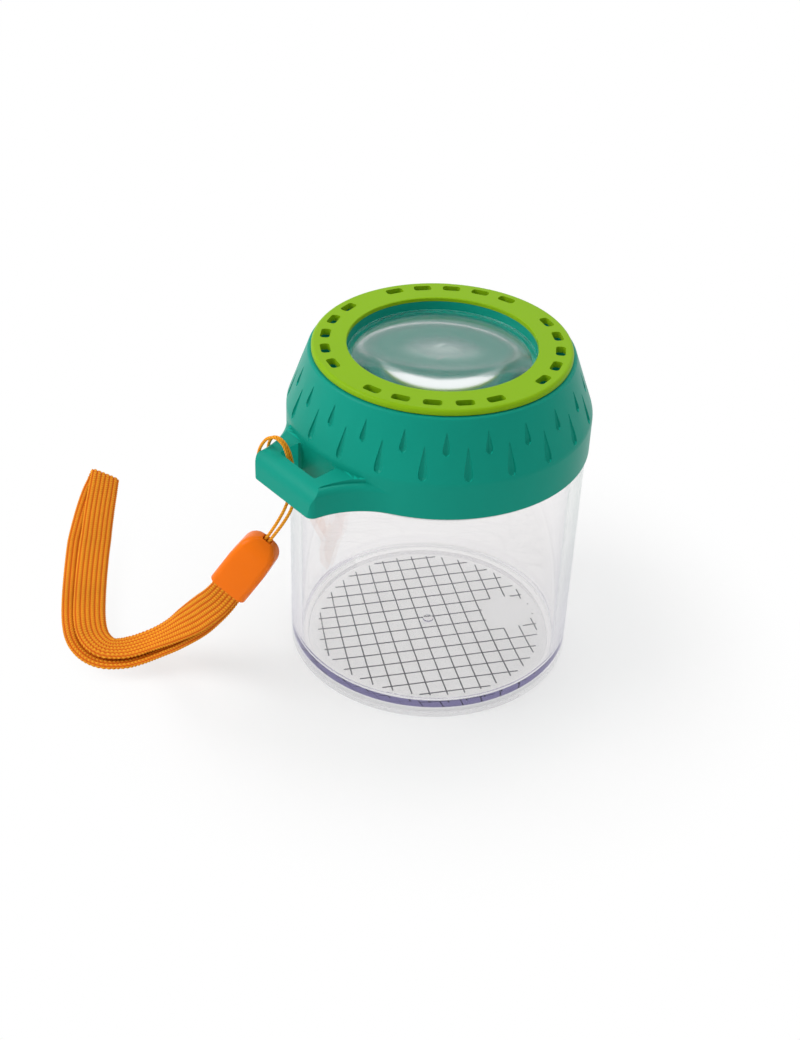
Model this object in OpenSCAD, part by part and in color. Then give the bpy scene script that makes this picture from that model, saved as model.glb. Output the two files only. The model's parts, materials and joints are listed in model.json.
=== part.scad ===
// Bug catcher jar: a clear cup with a measuring grid printed under its floor,
// and a screw lid that carries a magnifying lens, an air vent ring and a wrist strap.
// Millimetres, +Z up. The origin is on the jar's axis, in the plane it stands on.
// The lid's strap lug points along -X.

/* [Jar] */
// Outside diameter at the shoulder
jar_d = 72; // [68:0.5:76]
// How much narrower the foot is than the shoulder, in diameter
jar_taper = 0.5; // [0:0.1:1.5]
// Height of the shoulder
jar_h = 59.7; // [45:0.5:80]
// Thickness of the side wall
jar_wall = 2.7; // [2.2:0.1:3.2]
// Thickness of the floor
floor_t = 2; // [1.5:0.1:3]
// Height of the foot ring under the floor
foot_h = 1.4; // [0.8:0.1:2.5]
// Width of the foot ring
foot_w = 4; // [3:0.1:6]
// Radius between the floor and the wall inside
floor_fillet = 2; // [1:0.1:4]
// Height of the neck above the shoulder
neck_h = 10; // [7:0.1:10.4]
// How far the neck stands in from the side wall
neck_step = 1.6; // [1.5:0.05:1.8]
// Rounding of the neck's rim and of the foot's edge
jar_edge = 0.5; // [0.2:0.05:0.5]

/* [Measuring grid] */
// Distance between two lines
grid_pitch = 4.23; // [3:0.01:6]
// Width of a line
grid_line = 0.32; // [0.2:0.01:0.6]
// Thickness of the ink
ink_t = 0.1; // [0.05:0.01:0.2]
// Bare border between the foot ring and the ends of the lines
grid_border = 2.8; // [1:0.1:6]
// Turn of the grid about the jar's axis
grid_turn = -26.2; // [-90:0.1:90]

/* [Lid] */
// Gap between the jar's shoulder and the lid
seat_gap = 0.3; // [0.2:0.05:0.6]
// Room for the screw thread between the neck and the skirt
thread_room = 0.8; // [0.6:0.05:1.2]
// Height from the lid's lower edge to its top face
lid_h = 23.4; // [22.4:0.1:30]
// Height of the straight skirt
skirt_h = 9.1; // [8.8:0.1:10.5]
// How far the top face stands in from the skirt
cone_inset = 5.1; // [3.5:0.1:5.6]
// Wall of the skirt
skirt_wall = 1.4; // [1.2:0.05:1.5]
// Wall of the cone above the skirt
cone_wall = 1.7; // [1.5:0.05:2]
// Thickness of the top plate that carries the vent ring
deck_t = 1.6; // [1.2:0.1:2.4]
// Radius where the skirt turns into the cone
break_r = 3; // [1:0.5:3.5]
// Rounding of the top face's edge
lid_edge = 0.7; // [0.3:0.1:0.8]

/* [Grip drops] */
// Drop-shaped recesses in one row
drops_in_row = 22; // [12:1:24]
// Turn of the lower row about the axis
drop_turn = -5.6; // [-16:0.1:16]
// Length of a drop in the lower row
low_drop_l = 8.4; // [5:0.1:9]
// Width of a drop in the lower row
low_drop_w = 2.4; // [1.4:0.1:3]
// Length of a drop in the upper row
high_drop_l = 5.6; // [3:0.1:6]
// Width of a drop in the upper row
high_drop_w = 2; // [1.2:0.1:2.6]
// Depth of a drop near its round end
drop_depth = 0.7; // [0.3:0.05:0.8]
// Height of the lower row's round ends above the skirt
low_drop_rise = 0.7; // [0.7:0.1:2]
// Height of the upper row's round ends above the skirt
high_drop_rise = 6.3; // [5.5:0.1:7.5]

/* [Lens and its seat] */
// Thickness of the lens at its rim
lens_rim = 1.6; // [1.2:0.1:2]
// Rise of the lens's upper face
lens_crown = 2.2; // [1:0.1:2.6]
// Rise of the lens's lower face
lens_belly = 2.8; // [1:0.1:4]
// Clearance between the lens and its seat
lens_clear = 0.05; // [0.03:0.01:0.1]
// Depth of the lens's rim below the top of the seat collar
lens_depth = 2.1; // [1.6:0.1:2.4]
// Width of the ledge under the lens's rim
ledge_w = 1.4; // [1:0.1:2.5]
// Thickness of the ledge
ledge_t = 1.3; // [1:0.1:2]
// Wall of the seat collar
collar_wall = 1.1; // [0.9:0.05:1.4]
// Height of the collar above the top plate
collar_rise = 0.6; // [0.4:0.05:0.8]

/* [Vent ring] */
// Step from the edge of the lid's top face to the ring
ring_step = 0.75; // [0.7:0.05:1.5]
// Width of the ring's band
ring_w = 8.3; // [7.5:0.1:9.5]
// Thickness of the ring
ring_t = 1.6; // [1.4:0.1:2.5]
// Clearance between the ring and the lid
ring_clear = 0.05; // [0.03:0.01:0.1]
// Rounding of the ring's outer edge
ring_edge = 0.8; // [0.3:0.05:1]
// Bevel of the ring's lower edge and rounding of its bore
ring_bevel = 0.25; // [0.1:0.05:0.4]
// Groups of vent slots
slot_groups = 4; // [2:1:4]
// Slots in one group
slots_in_group = 5; // [3:1:5]
// Angle from one slot to the next
slot_step = 15; // [14:0.5:16]
// Distance from the ring's outer edge to the middle of the slots
slot_inset = 3.15; // [2.6:0.05:3.6]
// Length of a slot
slot_l = 4.3; // [3:0.1:5]
// Width of a slot
slot_w = 2.3; // [1.5:0.1:2.6]
// Corner radius of a slot
slot_corner = 0.8; // [0.3:0.05:0.9]
// Diameter of the pegs that hold the ring
peg_d = 2.2; // [1.6:0.1:2.8]

/* [Strap lug] */
// Reach of the lug from the skirt
lug_reach = 10.2; // [8:0.1:14]
// Width of the lug at its outer end
lug_w = 22.4; // [16:0.1:26]
// Height of the lug's outer end
lug_h = 6.7; // [5:0.1:7.2]
// Extra height where the lug meets the skirt
lug_rise = 0.9; // [0:0.1:1.6]
// Radius of the hollow sides that run into the skirt
lug_flare_r = 20; // [14:0.5:30]
// Radius of the upright outer corners
lug_corner_r = 2; // [1:0.1:4]
// Radius of the outer end's upper edge
lug_nose_r = 4.4; // [1:0.1:5]
// How far the outer end leans in at its top
lug_lean = 0.8; // [0:0.1:1.5]
// Radius of the side edges' rounding
lug_edge_r = 1.6; // [0.5:0.1:1.8]
// Thickness of the bar that the cord goes round
lug_bar = 4.5; // [3:0.1:6]
// Length of the cord slot
lug_slot_l = 13.6; // [8:0.1:16]
// Corner radius of the cord slot
lug_slot_corner = 0.8; // [0.3:0.1:1.5]

/* [Wrist strap] */
// Diameter of the thin cord
cord_d = 0.8; // [0.6:0.1:0.9]
// Width of the webbing
web_w = 8.6; // [6:0.1:9]
// Thickness of one layer of webbing
web_t = 1.3; // [0.8:0.1:1.4]
// Length of the cap
cap_l = 17; // [14:0.1:22]
// Width of the cap
cap_w = 9.9; // [9.6:0.1:12]
// Thickness of the cap
cap_t = 7; // [6:0.1:8]
// Wall of the cap
cap_wall = 0.6; // [0.5:0.05:0.9]
// Depth of the cap's mouth
cap_mouth_l = 6.5; // [4:0.1:9]

/* [Hidden] */

$fn = 120;
// Overrun of every cut past the face it opens
over = 0.5;

// Jar
jar_r = jar_d / 2;
foot_r = jar_r - jar_taper / 2;
floor_z = foot_h + floor_t;
bore_top_r = jar_r - jar_wall;
bore_floor_r = foot_r - jar_wall;
recess_r = foot_r - foot_w;
neck_r = jar_r - neck_step;
neck_z = jar_h + neck_h;

// Grid: its lines run from -grid_reach to +grid_reach
grid_r = recess_r - grid_border;
grid_lines = 2 * floor(grid_r / grid_pitch + 1 / 2);
grid_first = -(grid_lines - 1) / 2 * grid_pitch;
// Bare patch in the grid, in shares of its radius: from x, y to x, y
bare_patch_shares = [[0.45, -0.2], [0.94, 0.42]];

// Lid
lid_z = jar_h + seat_gap;
skirt_bore_r = neck_r + thread_room;
lid_r = skirt_bore_r + skirt_wall;
break_z = lid_z + skirt_h;
deck_z = lid_z + lid_h;
lid_top_r = lid_r - cone_inset;
cone_fall = cone_inset / (deck_z - break_z);
cone_angle = atan(cone_fall);
cone_wall_across = cone_wall / cos(cone_angle);
// Sections of a drop from its round end to its tip, in shares of its length, width and depth
drop_shares = [[0.02, 0.5, 0.55], [0.08, 0.88, 0.9], [0.2, 1, 1], [0.42, 0.78, 0.78],
               [0.68, 0.45, 0.45], [0.9, 0.17, 0.2]];
// Outline of one section, in shares of its half width and of its depth
drop_section_shares = [[-1, 0], [-0.72, -0.68], [0, -1], [0.72, -0.68], [1, 0]];
// How far a drop's flat top stands off the cone's face
drop_lift = drop_depth / 2;

// Lens and collar: the ring's bore is as wide as the lens's seat
ring_r = lid_top_r - ring_step;
seat_r = ring_r - ring_w;
lens_r = seat_r - lens_clear;
collar_top_z = deck_z + collar_rise;
lens_rim_top_z = collar_top_z - lens_depth;
lens_rim_z = lens_rim_top_z - lens_rim;
ledge_z = lens_rim_z - lens_clear;
ledge_low_z = ledge_z - ledge_t;
collar_r = seat_r + collar_wall;
// Radius of the lens's lower face, inside the flange that rests on the ledge
belly_r = seat_r - ledge_w - 2 * lens_clear;

// Vent ring
ring_low_z = deck_z + ring_clear;
ring_top_z = ring_low_z + ring_t;
rebate_z = collar_top_z + ring_clear;
rebate_r = collar_r + ring_clear;
slot_circle_r = ring_r - slot_inset;
group_turn = 360 / slot_groups;

// Lug
lug_end_x = -(lid_r + lug_reach);
lug_half = lug_w / 2;
lug_top_z = lid_z + lug_h;
lug_root_z = lug_top_z + lug_rise;
lug_root_r = lid_r - skirt_wall / 2;
// Height at which the rounding of the lug's side edges starts
lug_side_z = lug_top_z - lug_edge_r;
// Centre of a hollow side: its arc touches the skirt and leaves the lug's outer corner
flare_off = lid_r + lug_flare_r;
flare_y = lug_half + lug_flare_r;
flare_x = -sqrt(flare_off * flare_off - flare_y * flare_y);
// Centre of the rounding of an outer corner, which touches the end and the hollow side
lug_corner_x = lug_end_x + lug_corner_r;
lug_corner_y = flare_y - sqrt(pow(lug_flare_r + lug_corner_r, 2) - pow(lug_corner_x - flare_x, 2));
slot_out_x = lug_end_x + lug_bar;
slot_in_x = -(lid_r - skirt_wall / 4);

// Cap: its mouth, the direction of its tip and the direction of its width
cap_mouth = [-55.7, 8.3, 34];
cap_dir = [7, -6.5, 15];
cap_across = [0.414, -0.747, -0.521];
cap_nose_r = cap_t / 2;

// Hole in the cap's tip, wide enough for both strands
cord_hole_d = 2.4 * cord_d + cord_d / 2;

// Route of the thin cord, from the cap's tip round the lug and back
cord_route = [
    [-51.2, 4.3, 44.4], [-50, 3.2, 46.9], [-48.8, 2.1, 49.4], [-46.8, 1.5, 52.4],
    [-44.6, 1.6, 55.2], [-42.4, 2.6, 57.8], [-41.5, 3.2, 61], [-41.3, 4.2, 64.6],
    [-41.6, 4.8, 67.6], [-42, 5.8, 69.7], [-42.8, 7.4, 70.8], [-43.7, 9.2, 70.1],
    [-44.1, 10.8, 68], [-44.3, 11.9, 65.6], [-44.4, 12.3, 63], [-44.3, 12.3, 60.6],
    [-44.1, 11.6, 59], [-44, 9.8, 58.5], [-44.2, 7, 58.6], [-44.4, 3.8, 58.5], [-44.2, 1.4, 58.2],
    [-43, -0.2, 57.8], [-41.2, -0.4, 57.5], [-40.2, 1.2, 57.7], [-40.1, 4, 58.2],
    [-40.2, 8, 58.5], [-40.3, 11.8, 58.4], [-40.5, 13.4, 59.4], [-40.7, 13.6, 61.4],
    [-40.9, 13.2, 64], [-41.1, 12.3, 66.6], [-41.3, 10.6, 68.8], [-41.3, 8.4, 69.8],
    [-41, 6.4, 69.3], [-40.6, 5, 67.2], [-40.5, 4, 64.4], [-40.7, 2.4, 61.2],
    [-41.7, 1.4, 57.8], [-43.7, 0.6, 54.8], [-46, 0.6, 52], [-48.4, 1.3, 48.9],
    [-49.6, 2.4, 46.3], [-50.7, 3.5, 43.8]
];
// Sides of the thin cord's tube
cord_sides = 8;

// Route of the webbing's middle line, from inside the cap to the end of the loop
web_route = [
    [-53.8, 6.6, 38], [-55.7, 8.3, 34], [-57.2, 11, 29], [-58, 14.6, 24.2],
    [-58.7, 19, 18.8], [-60, 23.4, 13.8], [-62.2, 27.2, 9.4], [-65.4, 30.2, 6.4],
    [-69.2, 32.4, 4.8], [-72.2, 34.2, 4.2], [-74.8, 36.8, 3.8], [-75.9, 40.6, 3.5],
    [-75.4, 45.6, 3.3], [-73, 51.6, 3.1], [-68.6, 59.4, 3], [-61.6, 70.4, 3], [-54, 81.6, 3.2],
    [-46.4, 91.8, 3.7], [-40.6, 99, 4.3], [-37, 103.2, 4.7]
];
// Direction of the webbing's outer edge at each point of the route
web_edge = [
    [0.41, -0.75, -0.52], [0.41, -0.75, -0.52], [0.3, -0.8, -0.5], [0.1, -0.85, -0.45],
    [-0.1, -0.9, -0.35], [-0.3, -0.9, -0.25], [-0.5, -0.85, -0.15], [-0.62, -0.76, -0.1],
    [-0.68, -0.72, -0.05], [-0.78, -0.62, 0], [-0.92, -0.4, 0.05], [-1, -0.08, 0.12],
    [-0.96, 0.2, 0.18], [-0.9, 0.38, 0.22], [-0.84, 0.5, 0.24], [-0.8, 0.54, 0.24],
    [-0.78, 0.56, 0.26], [-0.76, 0.56, 0.3], [-0.74, 0.54, 0.36], [-0.72, 0.52, 0.42]
];
web_last = len(web_route) - 1;
// Half the distance between the two layers, and how far they come to be shifted sideways
web_half_gap = web_t / 2 + 0.2 * web_t;
web_shift = web_t;
// Points of the loop's closed end, and how far it opens
hairpin_steps = 5;
hairpin_open = web_t * 1.4;
// Points of the loop over which it opens, and over which the layers come together again
open_points = 4;
fold_points = 2;

// Vectors and swept tubes
function unit(v) = v / norm(v);
function along(p, i) =
    unit(p[min(i + 1, len(p) - 1)] - p[max(i - 1, 0)]);
function square_to(v, t) = unit(v - (v * t) * t);

// Corner i of an outline whose points are [x, y, radius], listed anticlockwise
function spot(p, i) = let (q = p[(i + len(p)) % len(p)]) [q[0], q[1]];
function corner_out(p, i) = unit(spot(p, i + 1) - spot(p, i));
function corner_in(p, i) = unit(spot(p, i - 1) - spot(p, i));
function corner_half(p, i) = acos(corner_out(p, i) * corner_in(p, i)) / 2;
function corner_trim(p, i) = p[i][2] / tan(corner_half(p, i));
function corner_centre(p, i) =
    spot(p, i) + unit(corner_out(p, i) + corner_in(p, i)) * p[i][2] / sin(corner_half(p, i));
function bulges(p, i) = cross(corner_out(p, i), corner_in(p, i)) > 0;

// Side faces and end caps of a tube of n points with s sides
function tube_faces(n, s) = concat(
    [for (i = [0:n - 2], j = [0:s - 1])
        [i * s + j, i * s + (j + 1) % s, (i + 1) * s + j]],
    [for (i = [0:n - 2], j = [0:s - 1])
        [i * s + (j + 1) % s, (i + 1) * s + (j + 1) % s, (i + 1) * s + j]],
    [[for (j = [0:s - 1]) s - 1 - j]],
    [[for (j = [0:s - 1]) (n - 1) * s + j]]
);

// Side direction carried along a route without twist
function carried(p, i) = i == 0
    ? square_to([0, 0, 1], along(p, 0))
    : square_to(carried(p, i - 1), along(p, i));

// Centre lines of the two layers of webbing: side 1 is the lower, side -1 the upper
function web_lift(i) = web_half_gap
    + (hairpin_open - web_half_gap) * max(0, 1 - (web_last - i) / open_points);
function web_aside(i) = web_shift * i / web_last * min(1, (web_last - i) / fold_points);
function web_normal(i) =
    let (t = along(web_route, i)) cross(t, square_to(web_edge[i], t));
function web_layer(i, side) =
    let (t = along(web_route, i), e = square_to(web_edge[i], t))
    web_route[i] - side * web_lift(i) * web_normal(i) + side * web_aside(i) * e;
function web_turn(k) =
    let (t = along(web_route, web_last), a = 180 * k / hairpin_steps,
         lower = web_layer(web_last, 1), upper = web_layer(web_last, -1),
         mid = (lower + upper) / 2)
    mid + (lower - mid) * cos(a) + t * web_lift(web_last) * sin(a);
web_loop = concat(
    [for (i = [0:web_last]) web_layer(i, 1)],
    [for (k = [1:hairpin_steps - 1]) web_turn(k)],
    [for (i = [web_last:-1:0]) web_layer(i, -1)]
);
web_loop_edge = concat(
    web_edge,
    [for (k = [1:hairpin_steps - 1]) web_edge[web_last]],
    [for (i = [web_last:-1:0]) web_edge[i]]
);
// The cap squeezes the webbing: its width there in shares, and the points up to its full width
squeeze_share = 0.84;
squeeze_points = 4;
function web_half(i) = web_w / 2 * min(1, squeeze_share
    + (1 - squeeze_share) * min(i, len(web_loop) - 1 - i) / squeeze_points);
// Cross-section of the webbing, in shares of its half width and half thickness
web_section_shares = [[1, 0.4], [0.85, 1], [-0.85, 1], [-1, 0.4],
                      [-1, -0.4], [-0.85, -1], [0.85, -1], [1, -0.4]];

module cord_tube(route, diameter, sides) {
    points = [
        for (i = [0:len(route) - 1])
            let (t = along(route, i), u = carried(route, i), v = cross(t, u))
            for (j = [0:sides - 1])
                route[i] + diameter / 2 * (cos(360 * j / sides) * u + sin(360 * j / sides) * v)
    ];
    polyhedron(points, tube_faces(len(route), sides), convexity = 10);
}

// An outline with true arcs at the corners that have a radius
module rounded_outline(p) {
    ends = [
        for (i = [0:len(p) - 1])
            each p[i][2] == 0
                ? [spot(p, i)]
                : [spot(p, i) + corner_in(p, i) * corner_trim(p, i),
                   spot(p, i) + corner_out(p, i) * corner_trim(p, i)]
    ];
    difference() {
        union() {
            polygon(ends);
            for (i = [0:len(p) - 1])
                if (p[i][2] > 0 && bulges(p, i))
                    translate(corner_centre(p, i))
                        circle(p[i][2]);
        }
        for (i = [0:len(p) - 1])
            if (p[i][2] > 0 && !bulges(p, i))
                translate(corner_centre(p, i))
                    circle(p[i][2]);
    }
}

module rounded_slot(length, width, corner) {
    square([length, width - 2 * corner], center = true);
    square([length - 2 * corner, width], center = true);
    for (x = [-1, 1], y = [-1, 1])
        translate([x * (length / 2 - corner), y * (width / 2 - corner)])
            circle(corner);
}

// Places every vent slot: its length runs round the ring
module at_vent_slots() {
    for (g = [0:slot_groups - 1], k = [0:slots_in_group - 1])
        rotate(group_turn * (g + 0.5) + slot_step * (k - (slots_in_group - 1) / 2))
            translate([slot_circle_r, 0])
                rotate(90)
                    children();
}

// Places the pegs, in the gaps between the groups of slots
module at_pegs() {
    for (g = [0:slot_groups - 1])
        rotate(group_turn * g)
            translate([slot_circle_r, 0])
                children();
}

module jar_cup() {
    color([0.93, 0.93, 0.95, 0.35])
        rotate_extrude()
            rounded_outline([
                [0, foot_h, 0],
                [recess_r, foot_h, 0],
                [recess_r, 0, 0],
                [foot_r, 0, jar_edge],
                [jar_r, jar_h, jar_edge],
                [neck_r, jar_h, 0],
                [neck_r, neck_z, jar_edge],
                [bore_top_r, neck_z, 0],
                [bore_floor_r, floor_z, floor_fillet],
                [0, floor_z, 0]
            ]);
}

module grid_print() {
    color([0.16, 0.16, 0.17])
        translate([0, 0, foot_h - ink_t])
            linear_extrude(ink_t)
                rotate(grid_turn)
                    difference() {
                        intersection() {
                            circle(grid_r);
                            for (a = [0, 90], i = [0:grid_lines - 1])
                                rotate(a)
                                    translate([grid_first + i * grid_pitch, 0])
                                        square([grid_line, grid_r * 2], center = true);
                        }
                        translate(bare_patch_shares[0] * grid_r)
                            square((bare_patch_shares[1] - bare_patch_shares[0]) * grid_r);
                    }
}

// One drop, a boat shape whose flat top stands off the cone's face. Its tip points along +Z
module drop(length, width) {
    sides = len(drop_section_shares);
    last = len(drop_shares) - 1;
    points = concat(
        [[drop_lift, 0, -drop_lift]],
        [for (ring = drop_shares, p = drop_section_shares)
            [p[1] * ring[2] * drop_depth + (p[1] == 0 ? drop_lift : 0),
             p[0] * ring[1] * width / 2, ring[0] * length]],
        [[drop_lift, 0, length + drop_lift]]
    );
    tip = len(points) - 1;
    faces = concat(
        [for (j = [0:sides - 1]) [0, 1 + (j + 1) % sides, 1 + j]],
        [for (i = [0:last - 1], j = [0:sides - 1])
            [1 + i * sides + j, 1 + i * sides + (j + 1) % sides, 1 + (i + 1) * sides + j]],
        [for (i = [0:last - 1], j = [0:sides - 1])
            [1 + i * sides + (j + 1) % sides, 1 + (i + 1) * sides + (j + 1) % sides,
             1 + (i + 1) * sides + j]],
        [for (j = [0:sides - 1]) [1 + last * sides + j, 1 + last * sides + (j + 1) % sides, tip]]
    );
    polyhedron(points, faces);
}

// A row of drops cut into the cone, round ends down
module drop_row(length, width, rise, turn) {
    for (i = [0:drops_in_row - 1])
        rotate(turn + 360 * i / drops_in_row)
            translate([lid_r - rise * cone_fall, 0, break_z + rise])
                rotate([0, -cone_angle, 0])
                    drop(length, width);
}

module lid_outer() {
    rotate_extrude()
        rounded_outline([
            [0, lid_z, 0],
            [lid_r, lid_z, 0],
            [lid_r, break_z, break_r],
            [lid_top_r, deck_z, lid_edge],
            [0, deck_z, 0]
        ]);
}

module lid_hollow() {
    rotate_extrude()
        polygon([
            [0, lid_z - over],
            [skirt_bore_r, lid_z - over],
            [skirt_bore_r, break_z],
            [lid_top_r + (deck_t * cone_fall) - cone_wall_across, deck_z - deck_t],
            [collar_r, deck_z - deck_t],
            [collar_r, ledge_low_z],
            [0, ledge_low_z]
        ]);
}

module lug_plan() {
    difference() {
        intersection() {
            polygon([[flare_x, flare_y], [flare_x, -flare_y], [0, 0]]);
            union() {
                translate([lug_end_x, -lug_corner_y])
                    square([lug_reach, 2 * lug_corner_y]);
                translate([lug_corner_x, -flare_y])
                    square([-lug_corner_x, 2 * flare_y]);
                for (y = [-1, 1])
                    translate([lug_corner_x, y * lug_corner_y])
                        circle(lug_corner_r);
            }
        }
        for (y = [-1, 1])
            translate([flare_x, y * flare_y])
                circle(lug_flare_r);
        circle(lug_root_r);
    }
}

module lug() {
    intersection() {
        translate([0, 0, lid_z])
            linear_extrude(lug_root_z - lid_z)
                lug_plan();
        rotate([90, 0, 0])
            translate([0, 0, -flare_y])
                linear_extrude(2 * flare_y)
                    rounded_outline([
                        [lug_end_x, lid_z, 0],
                        [0, lid_z, 0],
                        [0, lug_root_z, 0],
                        [-lug_root_r, lug_root_z, 0],
                        [lug_end_x + lug_lean, lug_top_z, lug_nose_r]
                    ]);
    }
}

// The hollow sides' upper edges are rounded by a flared cutter
module lug_side_cut(side) {
    translate([flare_x, side * flare_y, 0])
        rotate_extrude()
            difference() {
                translate([0, lid_z - over])
                    square([lug_flare_r + lug_edge_r, lug_root_z - lid_z + 2 * over]);
                translate([lug_flare_r, lid_z - 2 * over])
                    square([lug_edge_r + over, lug_side_z - lid_z + 2 * over]);
                translate([lug_flare_r + lug_edge_r, lug_side_z])
                    circle(lug_edge_r);
            }
}

module lid_shell() {
    color([0.08, 0.64, 0.57])
        difference() {
            union() {
                difference() {
                    lug();
                    lug_side_cut(-1);
                    lug_side_cut(1);
                }
                difference() {
                    lid_outer();
                    lid_hollow();
                    drop_row(low_drop_l, low_drop_w, low_drop_rise, drop_turn);
                    drop_row(high_drop_l, high_drop_w, high_drop_rise,
                             drop_turn + 180 / drops_in_row);
                }
                translate([0, 0, ledge_low_z])
                    cylinder(h = collar_top_z - ledge_low_z, r = collar_r);
            }
            translate([0, 0, ledge_z])
                cylinder(h = collar_top_z - ledge_z + over, r = seat_r);
            translate([0, 0, ledge_low_z - over])
                cylinder(h = ledge_t + 2 * over, r = seat_r - ledge_w);
            translate([0, 0, deck_z - deck_t - over])
                linear_extrude(deck_t + 2 * over) {
                    at_vent_slots()
                        rounded_slot(slot_l + 2 * ring_clear, slot_w + 2 * ring_clear, slot_corner);
                    at_pegs()
                        circle(peg_d / 2 + ring_clear);
                }
            translate([(slot_out_x + slot_in_x) / 2, 0, lid_z - over])
                linear_extrude(lug_root_z - lid_z + 2 * over)
                    rounded_slot(slot_in_x - slot_out_x, lug_slot_l, lug_slot_corner);
        }
}

module vent_ring() {
    color([0.6, 0.78, 0.14])
        difference() {
            union() {
                rotate_extrude()
                    rounded_outline([
                        [rebate_r, ring_low_z, 0],
                        [ring_r - ring_bevel, ring_low_z, 0],
                        [ring_r, ring_low_z + ring_bevel, 0],
                        [ring_r, ring_top_z, ring_edge],
                        [seat_r, ring_top_z, ring_bevel],
                        [seat_r, rebate_z, 0],
                        [rebate_r, rebate_z, 0]
                    ]);
                translate([0, 0, deck_z - deck_t])
                    at_pegs()
                        cylinder(h = deck_t + ring_t / 2, d = peg_d);
            }
            translate([0, 0, ring_low_z - over])
                linear_extrude(ring_t + 2 * over)
                    at_vent_slots()
                        rounded_slot(slot_l, slot_w, slot_corner);
        }
}

// Half the outline of one face of the lens: an arc of the given rise over the rim's middle plane
module lens_face(rise, disc_r, rim_up) {
    ball_r = (disc_r * disc_r + rise * rise) / (2 * rise);
    intersection() {
        translate([0, rim_up + rise - ball_r])
            circle(ball_r, $fn = 360);
        square([disc_r, rim_up + rise]);
    }
}

module lens() {
    color([0.8, 0.87, 0.87, 0.5])
        translate([0, 0, (lens_rim_z + lens_rim_top_z) / 2])
            rotate_extrude() {
                lens_face(lens_crown, lens_r, lens_rim / 2);
                mirror([0, 1])
                    lens_face(lens_belly, belly_r, lens_rim / 2);
                translate([0, -lens_rim / 2])
                    square([lens_r, lens_rim]);
            }
}

// Turns the cap's own axes (X across, Z to the tip) to their place on the strap
module at_cap() {
    z = unit(cap_dir);
    x = square_to(cap_across, z);
    y = cross(z, x);
    multmatrix([
        [x[0], y[0], z[0], cap_mouth[0]],
        [x[1], y[1], z[1], cap_mouth[1]],
        [x[2], y[2], z[2], cap_mouth[2]],
        [0, 0, 0, 1]
    ])
        children();
}

module flat_oval(width, thickness) {
    square([width - thickness, thickness], center = true);
    for (x = [-1, 1])
        translate([x * (width - thickness) / 2, 0])
            circle(d = thickness);
}

module strap_cap() {
    color([0.96, 0.5, 0.08])
        at_cap()
            difference() {
                hull($fn = 32) {
                    linear_extrude(cap_l / 2)
                        flat_oval(cap_w, cap_t, $fn = 32);
                    for (x = [-1, 1])
                        translate([x * (cap_w / 2 - cap_nose_r - cap_wall / 2), 0, cap_l - cap_nose_r])
                            sphere(cap_nose_r, $fn = 32);
                }
                translate([0, 0, -over])
                    linear_extrude(cap_mouth_l + over)
                        flat_oval(cap_w - 2 * cap_wall, cap_t - 2 * cap_wall, $fn = 32);
                translate([0, 0, cap_mouth_l - over])
                    cylinder(h = cap_l, d = cord_hole_d, $fn = 32);
            }
}

module strap_cord() {
    color([0.97, 0.58, 0.12])
        cord_tube(cord_route, cord_d, cord_sides);
}

module strap_webbing() {
    sides = len(web_section_shares);
    last = len(web_loop) - 1;
    points = [
        for (i = [0:last])
            let (t = along(web_loop, i), e = square_to(web_loop_edge[i], t), n = cross(t, e))
            for (s = web_section_shares)
                web_loop[i] + s[0] * web_half(i) * e + s[1] * web_t / 2 * n
    ];
    color([0.97, 0.52, 0.06])
        polyhedron(points, tube_faces(last + 1, sides), convexity = 10);
}

jar_cup();
grid_print();
lid_shell();
vent_ring();
lens();
strap_cord();
strap_cap();
strap_webbing();
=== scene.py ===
"""Bug catcher jar: the finish of its plastics, its knitted wrist strap and a plain studio."""

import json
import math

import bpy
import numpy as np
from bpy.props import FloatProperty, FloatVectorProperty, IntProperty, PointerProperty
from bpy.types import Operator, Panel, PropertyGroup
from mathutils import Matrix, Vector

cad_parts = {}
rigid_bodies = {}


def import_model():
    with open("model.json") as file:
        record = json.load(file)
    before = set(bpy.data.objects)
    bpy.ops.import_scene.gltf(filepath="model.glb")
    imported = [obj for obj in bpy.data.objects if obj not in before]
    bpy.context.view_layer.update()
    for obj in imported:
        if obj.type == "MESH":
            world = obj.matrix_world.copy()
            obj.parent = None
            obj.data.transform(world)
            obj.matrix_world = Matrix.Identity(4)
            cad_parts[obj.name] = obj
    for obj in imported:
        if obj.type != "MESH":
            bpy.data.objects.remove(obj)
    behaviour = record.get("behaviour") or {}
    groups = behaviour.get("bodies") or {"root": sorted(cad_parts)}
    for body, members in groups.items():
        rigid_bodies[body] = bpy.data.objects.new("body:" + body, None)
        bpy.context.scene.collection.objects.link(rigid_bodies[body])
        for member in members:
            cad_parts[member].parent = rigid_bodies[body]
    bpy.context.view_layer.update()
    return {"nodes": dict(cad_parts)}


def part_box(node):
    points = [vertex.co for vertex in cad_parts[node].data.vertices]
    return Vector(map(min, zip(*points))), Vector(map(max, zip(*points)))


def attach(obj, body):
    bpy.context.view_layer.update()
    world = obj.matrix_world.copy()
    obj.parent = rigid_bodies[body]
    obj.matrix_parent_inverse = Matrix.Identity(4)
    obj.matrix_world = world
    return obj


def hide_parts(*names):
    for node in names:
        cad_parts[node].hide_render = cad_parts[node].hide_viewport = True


bl_info = {
    "name": "Bug catcher jar",
    "version": (1, 0, 0),
    "blender": (4, 5, 0),
    "location": "View3D > Sidebar > Bug jar",
    "description": "Finishes the jar, its screw lid, the magnifying lens and the wrist strap",
    "category": "Add Mesh",
}

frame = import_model()

MM = 0.001

JAR_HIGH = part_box("jar_cup")[1]
LID_LOW, LID_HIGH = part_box("lid_shell")
SHOULDER_R = JAR_HIGH.x
NECK_TOP = JAR_HIGH.z

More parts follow.
